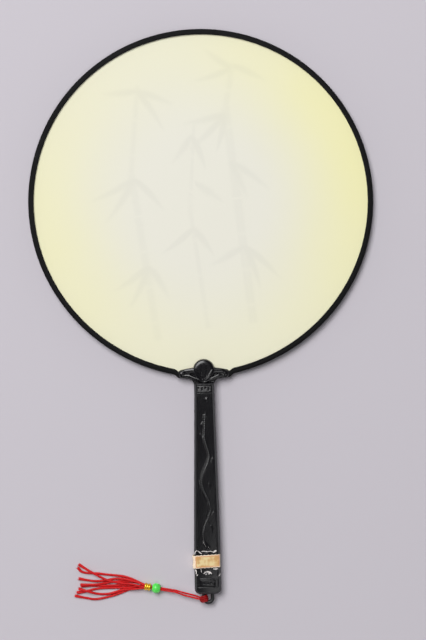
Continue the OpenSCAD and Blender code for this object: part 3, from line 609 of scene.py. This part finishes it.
# Handle halves: two like mouldings in satin black plastic that imitate carved wood, glued
# back to back. Height above the parting plane is a function of the place on the face: a
# bevelled shaft, a sunk field with a dragon, key frets, and a bud between two ribbed wings.
NECK_Y, NECK_END, JOIN_Y, TAPER_Y, FOOT_Y = -144.65, -136.2, -138.4, -262.0, -295.5
FOOT_HALF, CORNER_R = 10, 4.2
CORNER_Y = FOOT_Y + CORNER_R
FIELD_TOP, FIELD_FOOT, FIELD_DEPTH = -144.65, -283.9, 0.9
DRAGON_TOP, DRAGON_FOOT, DRAGON_LEN = -160.65, -261.9, 101.25
BUD_Y, BUD_R, BUD_TOP_R = -126.85, 8.15, 7.85
WING_ROOT, WING_LEN, WING_Y, FLANGE_HALF = 7.05, 9.25, -129.35, 12.6
SHAFT_COLS, HEAD_TURNS, HEAD_RINGS, HEAD_MIDDLE = 98, 300, 86, -129.5
FRETS = (
    (-141.25, 0.075, [(-4.3, 1, 0.3), (-1.7, 0, 0.8), (0.9, 1, 0.4), (3.3, 0.3, 0.8)]),
    (-287.3, 0.005, [(-3.2, 0.2, 0.3), (-0.2, -0.1, 0.35), (2.4, 0.5, 0.3), (5, 0, 0.4)]),
)


def half_width(y):
    """Half the shaft's width: 7.6 at the neck, 10 at the foot, with rounded foot corners."""
    wide = 7.6 + 2.4 * np.clip((NECK_Y - y) / (NECK_Y - TAPER_Y), 0, 1)
    corner = np.clip(CORNER_Y - y, 0, CORNER_R)
    return wide - CORNER_R + np.sqrt(CORNER_R**2 - corner**2)


def distance(x, y, a, b):
    """Distance to the line from a to b, and the way along it from 0 to 1."""
    a, way = np.array(a, float), np.subtract(b, a)
    t = np.clip(((x - a[0]) * way[0] + (y - a[1]) * way[1]) / max(way @ way, 1e-9), 0, 1)
    return np.hypot(x - a[0] - t * way[0], y - a[1] - t * way[1]), t


def stroke(x, y, points, start, end, high):
    """A rounded ridge along points, its half width going from start to end."""
    made = np.zeros_like(x)
    for i, (a, b) in enumerate(zip(points, points[1:])):
        off, t = distance(x, y, a, b)
        wide = start + (end - start) * (i + t) / (len(points) - 1)
        made = np.maximum(made, high * np.sqrt(np.clip(1 - (off / wide) ** 2, 0, 1)))
    return made


def dragon_line(y):
    """Spine of the dragon at a height of the field: a swing that grows from the neck."""
    grown = np.clip(((DRAGON_TOP - y) / DRAGON_LEN - 0.1) / 0.2, 0, 1)
    return 3.0 * grown * np.cos(2 * math.pi * (y + 190.6) / 40.5)


SPINE_Y = np.arange(-262.0, -160.0, 0.05)
SPINE_WAY = np.cumsum(np.hypot(0.05, np.gradient(dragon_line(SPINE_Y))))


def dragon(x, y):
    """Height of the dragon, its pearl and the flames above the field's floor."""
    share = np.clip((DRAGON_TOP - y) / DRAGON_LEN, 0, 1)
    slope = (dragon_line(y + 0.1) - dragon_line(y - 0.1)) / 0.2
    off = (x - dragon_line(y)) / np.sqrt(1 + slope**2)
    s = np.interp(y, SPINE_Y, SPINE_WAY)
    inside = ((y < DRAGON_TOP) & (y > DRAGON_FOOT)).astype(float)
    wide = 2.6 * np.minimum(0.75 + 0.8 * share, np.minimum(1, 0.2 + 1.4 * (1 - share)))
    flank = 0.5 + 0.5 * np.cos(np.clip(-off / wide, 0, 1) * math.pi)
    body = 0.08 * np.where(off > 0, np.clip(1 - off / 0.5, 0, 1), flank) * inside
    row = np.floor(s / 0.9)
    cell = off / 0.85 + 0.5 * (row % 2)
    scale = np.clip(1 - np.hypot(1.8 * (cell - np.round(cell)), s / 0.9 - row), 0, 1)
    bead = np.exp(-((off / 0.42) ** 2)) * (0.5 + 0.5 * np.cos(2 * math.pi * s / 1.7))
    made = body + (0.13 * scale + 0.26 * bead) * (body > 0.005)
    for top in np.arange(-212.0, -238.0, -2.1):
        px = float(dragon_line(np.array(top)))
        away, t = distance(x, y, (px - 2.7, top + 2.1), (px - 0.9, top))
        plate = np.clip(1 - (away / 0.38) ** 4, 0, 1)
        made = made * (1 - plate) + (0.04 + 0.4 * t) * plate
    for at, side in [(0.16, -1), (0.34, 1), (0.56, -1), (0.74, 1)]:
        py = DRAGON_TOP - DRAGON_LEN * at
        px = float(dragon_line(np.array(py)))
        knee, foot = (px + side * 1.9, py - 1.1), (px + side * 2.6, py + 1.2)
        made = np.maximum(made, stroke(x, y, [(px, py), knee, foot], 0.6, 0.35, 0.2))
        for toe in (-0.9, 0, 0.9):
            tip = (foot[0] + side * (0.9 - 0.4 * abs(toe)), foot[1] + 0.7 + toe * 0.5 * side)
            made = np.maximum(made, stroke(x, y, [foot, tip], 0.22, 0.1, 0.18))
    for flame, high in [
        ([(-1.6, -166), (-2.9, -168), (-3, -170.4)], 0.14),
        ([(2.4, -212.6), (3.6, -214.4), (3.2, -217.4)], 0.18),
        ([(-0.2, -240.8), (1.2, -241.4), (2.2, -242.4)], 0.3),
        ([(-1.4, -245), (-1.7, -248.4), (-1.2, -249.4)], 0.26),
        ([(3.2, -244), (4.6, -246.6), (4.2, -250)], 0.22),
        ([(-2.9, -257.4), (-0.4, -260.4), (1.6, -262)], 0.32),
        ([(-2.2, -255.2), (0.6, -258.6), (2.4, -260)], 0.32),
        ([(-0.6, -264), (-2.3, -266), (-1.7, -268.6)], 0.24),
        ([(1, -263.6), (2.6, -266), (2.9, -269.4)], 0.24),
        ([(-3.6, -272), (-1.4, -274.4), (1, -273), (3, -275.6)], 0.26),
        ([(-4.4, -279), (-2.2, -280.8), (0.6, -279.4), (3.6, -281)], 0.26),
    ]:
        made = np.maximum(made, stroke(x, y, flame, 0.5, 0.16, high))
    head = 0.16 * np.exp(-((x - 0.6) ** 2 + ((y + 160.9) / 1.7) ** 2) / 1.1)
    mane = stroke(x, y, [(0.2, -161.6), (-0.9, -163.4), (-1.2, -165)], 0.4, 0.15, 0.14)
    a, b = (x - 1.6) * 0.8 + (y + 148.9) * 0.6, (y + 148.9) * 0.8 - (x - 1.6) * 0.6
    pearl = 0.5 * np.clip(1 - (a / 1.7) ** 2 - (b / 1.25) ** 2, 0, 1) ** 0.9
    return np.maximum(np.maximum(made, head), np.maximum(mane, pearl))


def fret(x, y, middle, lean, pockets):
    """Height of a key fret above its panel: a raised face that leans and has small pits."""
    gap = np.full_like(x, 9.0)
    for px, py, half in pockets:
        tall = np.maximum(np.abs(y - middle - py) - half, 0)
        gap = np.minimum(gap, np.hypot(x - px, tall))
    rim = ramp(np.minimum(5.4 - np.abs(x), 2.5 - np.abs(y - middle)), -0.3, 0.5)
    return rim * (0.5 + lean * (0.4 * x - y + middle) - 0.58 * np.clip(0.7 - gap, 0, 0.7))


def shaft_height(x, y):
    """Height of the shaft's face: a bevel, a flat with a slight crown, and the sunk panels."""
    edge = half_width(y) - np.abs(x)
    beside, below = np.abs(x) - (FOOT_HALF - CORNER_R), CORNER_Y - y
    corner = CORNER_R - np.hypot(np.maximum(beside, 0), np.maximum(below, 0))
    edge = np.where(below > 0, corner + np.minimum(np.maximum(beside, below), 0), edge)
    edge = np.minimum(edge, NECK_END - y)
    face = 2.8 + 0.8 * np.sqrt(np.clip(edge / 0.4, 0, 1)) + 1.4 * np.clip((edge - 0.2) / 1.5, 0, 1)
    face = face - 0.003 * x**2
    wide = half_width(y) - 2.4
    field = np.maximum(np.abs(x) - wide, np.maximum(y - FIELD_TOP, FIELD_FOOT - y))
    for level in (FIELD_TOP, FIELD_FOOT):
        notch = np.hypot(np.abs(x) - (half_width(np.array(level)) - 2.4), y - level)
        field = np.maximum(field, 1.6 - notch)
    ripple = 0.006 * np.sin(x * 2.1 + 1.3 * np.sin(y * 0.7)) * np.sin(y * 1.7)
    face = face - ramp(-field, 0, 0.22) * (FIELD_DEPTH + ripple)
    face = face + ramp(-field, 0.2, 0.5) * dragon(x, y)
    for middle, lean, pockets in FRETS:
        wide = half_width(np.array(middle)) - 2.2
        panel = np.maximum(np.abs(x) - wide, np.abs(y - middle) - 2.9)
        face = face - ramp(-panel, 0, 0.15) * (FIELD_DEPTH - fret(x, y, middle, lean, pockets))
    return face


def bud_height(x, y):
    """Height of the bud: 5 - 1.5 (r / 7.85)^8, drawn to a point below, with petal lines."""
    soft = np.sqrt(x**2 + 0.1)
    upper = np.hypot(x, y - BUD_Y)
    lower = np.hypot(soft + 1.234, y - BUD_Y) - 1.234
    r = np.where(y > BUD_Y, upper, lower) * BUD_TOP_R / BUD_R
    dome = 5.0 - 1.5 * (r / BUD_TOP_R) ** 8 - 1.5 * np.clip((r - 7.15) / 0.7, 0, 1) ** 2
    ax = np.abs(x)
    for a, b, deep in [
        ((1.9, -123.6), (1.95, -131), 0.16),
        ((1.95, -131), (0.1, -135.4), 0.16),
        ((5.8, -126.6), (1.4, -133.6), 0.2),
    ]:
        off = distance(ax, y, a, b)[0]
        dome = dome - deep * np.exp(-((off / 0.28) ** 2))
    return np.where(r > BUD_TOP_R, 0, dome)


def roll(x, y, a, b, wide, top, low):
    """A flattened ridge from a to b above low. wide and top hold its start and its end."""
    off, t = distance(x, y, a, b)
    share = off / (wide[0] + (wide[1] - wide[0]) * t)
    high = top[0] + (top[1] - top[0]) * t - low
    ridge = low + high * np.sqrt(np.clip(1 - share**7, 0, 1)) - 0.5 * share**2
    return np.where(share < 1, ridge, 0)


def wing_edge(ax, y):
    """Distance inside a wing's plan, which narrows and falls from its root to its tip."""
    along = np.clip((ax - WING_ROOT) / WING_LEN, 0, 1)
    half, off = 4.5 - 1.1 * along, y - (WING_Y - 0.53 * along)
    outer = half - np.hypot(ax - WING_ROOT - WING_LEN * along, off)
    return np.where(ax < WING_ROOT, half - np.abs(off), outer)


def wing_height(x, y):
    """Height of the wings: a low plate, an upper and a lower roll, a tip bulb and a V collar."""
    ax = np.abs(x)
    edge = wing_edge(ax, y)
    made = 2.0 * np.sqrt(np.clip(1 - (1 - np.clip(edge / 0.6, 0, 1)) ** 2, 0, 1))
    for a, b, wide, top in [
        ((4.5, -127.1), (13.6, -127.7), (2.5, 2.2), (4.2, 4.0)),
        ((13.6, -127.7), (17.0, -129.3), (2.2, 1.7), (4.0, 3.3)),
        ((14.6, -131.1), (11.0, -131.4), (1.4, 1.8), (3.3, 3.7)),
        ((11.0, -131.4), (7.0, -133.1), (1.8, 1.6), (3.7, 4.0)),
        ((7.0, -133.1), (0.0, -136.0), (1.6, 1.1), (4.0, 4.4)),
    ]:
        made = np.maximum(made, roll(ax, y, a, b, wide, top, 1.9))
    bulb = np.clip(1 - ((ax - 16.2) / 2.6) ** 2 - ((y + 129.9) / 3.2) ** 2, 0, 1)
    tip = np.where(bulb > 0, 1.8 + 1.7 * np.sqrt(bulb), 0)
    return np.where(edge > 0, np.maximum(made, tip), made)


def head_height(x, y):
    """The highest of bud, wings and collar, and below them the flange and the neck."""
    flange = np.where(np.abs(x) < FLANGE_HALF, 2.2, 0.0) * (y < -131)
    made = np.maximum(np.maximum(bud_height(x, y), wing_height(x, y)), flange)
    neck = np.maximum(made * (y > -137.1), shaft_height(x, y))
    return np.where(y < NECK_END, neck, made)


def head_inside(x, y):
    """True where the head's plan covers a point: bud, wings, hollow corners and neck."""
    ax = np.abs(x)
    bud = np.hypot(x, y - BUD_Y) < BUD_R
    corner = (ax < FLANGE_HALF) & (y < -129.9) & (np.hypot(ax - FLANGE_HALF, y + 138.28) > 5)
    neck = (ax < 7.6) & (y < -129)
    return (wing_edge(ax, y) > 0) | bud | ((corner | neck) & (y > JOIN_Y))


def handle_half():
    """Points and faces of the front half, about the hoop's middle on the parting plane."""
    fine = [np.arange(m - 3, m + 3, 0.13) for m, _, _ in FRETS]
    coarse = np.arange(FOOT_Y, JOIN_Y, 0.25)
    rows = np.unique(np.round(np.concatenate([coarse, [JOIN_Y], *fine]), 2))
    rows = rows[np.concatenate([[True], np.diff(rows) > 0.06])]
    rows[0], rows[-1] = FOOT_Y, JOIN_Y
    spread = np.linspace(-1, 1, SHAFT_COLS)
    y = np.broadcast_to(rows[:, None], (len(rows), SHAFT_COLS))
    x = (np.sign(spread) * np.abs(spread) ** 0.92)[None, :] * half_width(y)
    top = np.stack([x, y, shaft_height(x, y)], -1)
    rim = np.concatenate([top[::-1, 0], top[0, 1:-1], top[:, -1]])
    wall = np.stack([
        rim, rim * [1, 1, 0.5], rim * [0.995, 1, 0] + [0, 0, 0.12], rim * [0.985, 1, 0]
    ])
    turn = np.linspace(0, 2 * math.pi, HEAD_TURNS, endpoint=False)
    way = np.stack([np.sin(turn), -np.cos(turn)], -1)
    reach = np.linspace(0.5, 24, 1200)
    inside = head_inside(way[:, :1] * reach, way[:, 1:] * reach + HEAD_MIDDLE)
    outline = np.array([reach[np.nonzero(row)[0].max()] for row in inside])
    r = (np.linspace(0, 1, HEAD_RINGS) ** 0.8)[:, None] * outline[None, :]
    x, y = way[:, 0] * r, way[:, 1] * r + HEAD_MIDDLE
    head = np.stack([x, y, head_height(x, y)], -1)
    skirt = np.stack([head[-1], head[-1] * [1, 1, 0]])
    points, faces = gather([
        (top.reshape(-1, 3), quads(len(rows), SHAFT_COLS)),
        (wall.reshape(-1, 3), quads(len(wall), len(rim), flip=True)),
        (head.reshape(-1, 3), quads(HEAD_RINGS, HEAD_TURNS, round_cols=True, flip=True)),
        (skirt.reshape(-1, 3), quads(2, HEAD_TURNS, round_cols=True, flip=True)),
    ])
    first = top.size // 3
    around = first + np.arange(len(wall))[:, None] * len(rim) + np.arange(len(rim))
    last_row = np.arange(first - SHAFT_COLS, first)
    join = np.concatenate([around[:0:-1, 0], last_row, around[1:, -1]])
    under = np.arange(len(points) - HEAD_TURNS, len(points))
    faces += [around[-1, ::-1].tolist(), join.tolist(), under[::-1].tolist()]
    return points, faces


satin_black, add, finish_plastic = shader("satin_plastic", "#08070b", 0.2, IOR=1.48)
finish_plastic(
    Roughness=scaled(add, noise(add, 60.0, 4.0), end=(0.14, 0.25)),
    Normal=relief(add, noise(add, 1400.0, 3.0), 0.15, 0.000015),
)
points, faces = handle_half()
put("handle_front_carved", points, faces, satin_black, "fan", "handle", ["handle_front"])
twin = points * [-1, 1, -1]
put("handle_back_carved", twin, faces, satin_black, "fan", "handle", ["handle_back"])

# Hang loop: one bent bar of the same plastic, 2.9 mm thick, rubbed dull by the cord. Its legs
# run 8 mm into the foot, where a collar on each locks them between the halves.
bend = np.radians(np.linspace(180, 360, 40))
leg = np.linspace(11.3, 0.3, 34)
line = np.vstack([
    [(-LOOP_R, y, LOOP_Z) for y in leg],
    np.stack([LOOP_R * np.cos(bend), LOOP_R * np.sin(bend), np.full(40, LOOP_Z)], -1),
    [(LOOP_R, y, LOOP_Z) for y in leg[::-1]],
])
collar = np.where(line[:, 1] > 9.7, 2.18, 1.44)[:, None]
points, faces, _ = tube(line, collar, 28)
loop_black, add, finish_loop = shader("worn_plastic", "#08070b", 0.45, IOR=1.48)
finish_loop(Normal=relief(add, noise(add, 1200.0, 3.0), 0.3, 0.00005))
put("hang_loop_bar", points, faces, loop_black, "fan", "loop", ["hang_loop"], middle=LOOP_MIDDLE)

# Paper band: cream printed paper with an orange line 1.3 mm inside its edges, yellowed and
# blotched in the middle, 9.6 mm wide, pasted a little askew over the face and round the left
# edge, where it stands off.
BAND_WIDE, BAND_LONG, BAND_Y, BAND_LEAN, BAND_COLS = 19.2, 9.6, -270.7, 0.045, 25
paper, add, finish_paper = shader("printed_paper", "#e6cf9c", 0.8)
split = add("SeparateXYZ", {0: add("UVMap", {}, uv_map="UVMap").outputs[0]})
blot = noise(add, 260.0, 4.0)
gaps = []
for axis, size in ((0, BAND_WIDE), (1, BAND_LONG)):
    way = maths(add, "ABSOLUTE", maths(add, "SUBTRACT", split.outputs[axis], 0.5))
    gaps.append(scaled(add, way, (0.5, 0), (0, size / 2)))
ragged = maths(add, "ADD", maths(add, "MINIMUM", *gaps), maths(add, "MULTIPLY", blot, 0.9))
line = maths(add, "ABSOLUTE", maths(add, "SUBTRACT", ragged, 1.35))
aged = scaled(add, blot, (0.42, 0.62))
field = blend(add, aged, linear("#e3cd98"), linear("#cb9c62"))
ground = blend(add, scaled(add, ragged, (1.3, 1.7)), linear("#f0dcc2"), field)
printed = blend(add, scaled(add, line, (0.5, 0.2), (0, 0.8)), ground, linear("#cc8347"))
finish_paper(Base_Color=printed, Normal=relief(add, blot, 0.2, 0.0001))
run = spline([
    (9.6, 0, 3.5), (8.5, 0, 5.1), (4, 0, 5.12), (0, 0, 5.14), (-4, 0, 5.12), (-8, 0, 5.2),
    (-9.8, 0, 4.5), (-10.9, 0, 2.6), (-11.1, 0, 0), (-10.8, 0, -2.4), (-9.4, 0, -4.1),
], 0.25)
v = np.linspace(-1, 1, BAND_COLS)
rag = 0.12 * np.sin(run[:, 0] * 2.3)[:, None] * np.abs(v)[None, :]
y = BAND_Y + BAND_LEAN * run[:, :1] + v[None, :] * (BAND_LONG / 2 + rag)
lift = ramp(-run[:, 0], 8.5, 10.5)[:, None]
bulge = 0.25 * np.sin(np.linspace(0, 9, BAND_COLS))[None, :] * lift
face = np.stack(np.broadcast_arrays(run[:, :1] - bulge, y, run[:, 2:] + 0 * y), -1)
inner = face * [0.985, 1, 1] - [0, 0, 0.06]
points = np.concatenate([face, inner[:, ::-1]], 1)
half = BAND_WIDE / 2
u = (half - np.clip(run[:, :1], -half, half)) / BAND_WIDE
uv = np.stack(np.broadcast_arrays(u, (v[None, :] + 1) / 2), -1)
uv = np.concatenate([uv, uv[:, ::-1]], 1)
faces = closed_rings(len(run), 2 * BAND_COLS)
put("paper_band_printed", points, faces, paper, "fan", "paper", ["paper_band"], uv)

# Paper remains: torn white backing and runs of dried paste of a wider, lost band, on both sides of
# the one that is left. Thin flakes with ragged edges that follow the face below them. The last two
# thin streaks are not paper but painted highlights: pale strokes for the glints on the relief above
# the band.
backing_and_glint_paint = shader("torn_backing_and_painted_glints", "#dcd6d3", 0.85)[0]
flakes = []
for line, wide in [
    ([(-9.4, -266), (-9.2, -263.6), (-8, -262.6), (-6.8, -262.9)], 0.35),
    ([(-6.9, -262.9), (-5.4, -264.2), (-4.4, -265.2)], 0.4),
    ([(-4.6, -263.2), (-2, -263.1), (0.4, -263.6)], 0.35),
    ([(0.3, -263.5), (2.6, -263.2), (4.6, -263.9)], 0.3),
    ([(4.4, -264.2), (5.6, -263.4), (6.9, -262.6)], 0.75),
    ([(-3.1, -280), (-1.8, -279), (0, -278.5), (1.8, -279.1), (3.2, -280.4)], 0.6),
    ([(-1.6, -280.9), (-0.9, -280)], 0.45),
    ([(0.8, -280.6), (1.2, -279.4)], 0.5),
    ([(4.2, -276.4), (6, -276.6), (7.8, -276.3)], 0.65),
    ([(8.2, -281.8), (9.1, -280.9), (9.5, -279.8)], 0.3),
    ([(-9.2, -276.6), (-8.7, -278.4), (-8.6, -280.2)], 0.55),
    ([(-8.4, -281.4), (-7.2, -280.4)], 0.3),
    ([(-5, -276.2), (-4.7, -278.9)], 0.22),
    # These two thin pale streaks are painted highlights for glints on the relief, not paper.
    ([(-3.2, -254.7), (-2.2, -257.6), (-0.4, -260.3)], 0.06),
    ([(0.5, -259.6), (1.7, -261.4)], 0.05),
]:
    path = spline([(a, b, 0) for a, b in line], 0.2)[:, :2]
    way = np.gradient(path, axis=0)
    way /= np.linalg.norm(way, axis=1)[:, None]
    out = np.stack([-way[:, 1], way[:, 0]], -1)
    t = np.linspace(0, 1, len(path))
    uneven = np.interp(t, np.linspace(0, 1, 12), rng.uniform(0.45, 1.25, 12))
    half = wide * uneven * np.sin(math.pi * np.clip(t, 0.04, 0.96)) ** 0.4
    v = np.linspace(-1, 1, 7)
    xy = path[:, None] + out[:, None] * (half[:, None] * v)[:, :, None]
    z = shaft_height(xy[..., 0], xy[..., 1])[..., None]
    upper = np.concatenate([xy, z + 0.07 * (1 - 0.7 * v[None, :, None] ** 4)], -1)
    lower = np.concatenate([xy, z - 0.02], -1)
    rings = np.concatenate([upper, lower[:, ::-1]], 1)
    faces = closed_rings(len(path), rings.shape[1], flip=True)
    flakes.append((rings.reshape(-1, 3), faces))
put("paper_remains_and_painted_glints", *gather(flakes), backing_and_glint_paint, "fan", "paper")

# Wire: the CAD solid itself, drawn steel 2 mm thick, bent to the hoop with two ends that run
# down into the handle. The binding and the handle close it in.
steel = shader("drawn_steel", "#8f9296", 0.35, Metallic=1.0)[0]
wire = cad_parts["hoop_wire"]
wire.data.materials.clear()
wire.data.materials.append(steel)

# Stage: a pale mauve-grey paper ground, a large soft light from the upper left, a pale patch of
# ceiling that the handle's foot mirrors, and a room with the brightness 0.08 + 2.2 (1 - z)^5 at
# the sine z of the elevation, which the camera itself sees at a plain 0.8.
ground = shader("ground_paper", "#c6c1c8", 0.9)[0]
floor_mesh = bpy.data.meshes.new("floor")
floor_mesh.from_pydata([(-3, -3, 0), (3, -3, 0), (3, 3, 0), (-3, 3, 0)], [], [[0, 1, 2, 3]])
floor_mesh.materials.append(ground)
floor = bpy.data.objects.new("floor", floor_mesh)
bpy.context.scene.collection.objects.link(floor)
world = bpy.data.worlds.new("sky")
world.use_nodes = True
room, nodes = world.node_tree, world.node_tree.nodes
nodes["Background"].inputs[0].default_value = linear("#f4f4f8")
way, split = nodes.new("ShaderNodeTexCoord"), nodes.new("ShaderNodeSeparateXYZ")
room.links.new(way.outputs["Generated"], split.inputs[0])
level = split.outputs[2]
for operation, second in [
    ("MULTIPLY", -1.0), ("ADD", 1.0), ("POWER", 5.0), ("MULTIPLY", 2.2), ("ADD", 0.08),
]:
    step = nodes.new("ShaderNodeMath")
    step.operation = operation
    room.links.new(level, step.inputs[0])
    step.inputs[1].default_value = second
    level = step.outputs[0]
ray, seen = nodes.new("ShaderNodeLightPath"), nodes.new("ShaderNodeMix")
room.links.new(ray.outputs["Is Camera Ray"], seen.inputs["Factor"])
room.links.new(level, seen.inputs["A"])
seen.inputs["B"].default_value = 0.8
room.links.new(seen.outputs["Result"], nodes["Background"].inputs[1])
bpy.context.scene.world = world
for name, wide, tall, energy, place in [
    ("softbox", 3.0, 3.6, 266.0, (-1.5, 2.3, 4.0)),
    ("ceiling_patch", 1.4, 1.6, 19.0, (0.6, -1.62, 4.0)),
]:
    lamp = bpy.data.objects.new(name, bpy.data.lights.new(name, "AREA"))
    lamp.data.shape = "RECTANGLE"
    lamp.data.size, lamp.data.size_y = wide, tall
    lamp.data.energy = energy
    lamp.location = place
    bpy.context.scene.collection.objects.link(lamp)
bpy.context.scene.view_settings.view_transform = "Standard"
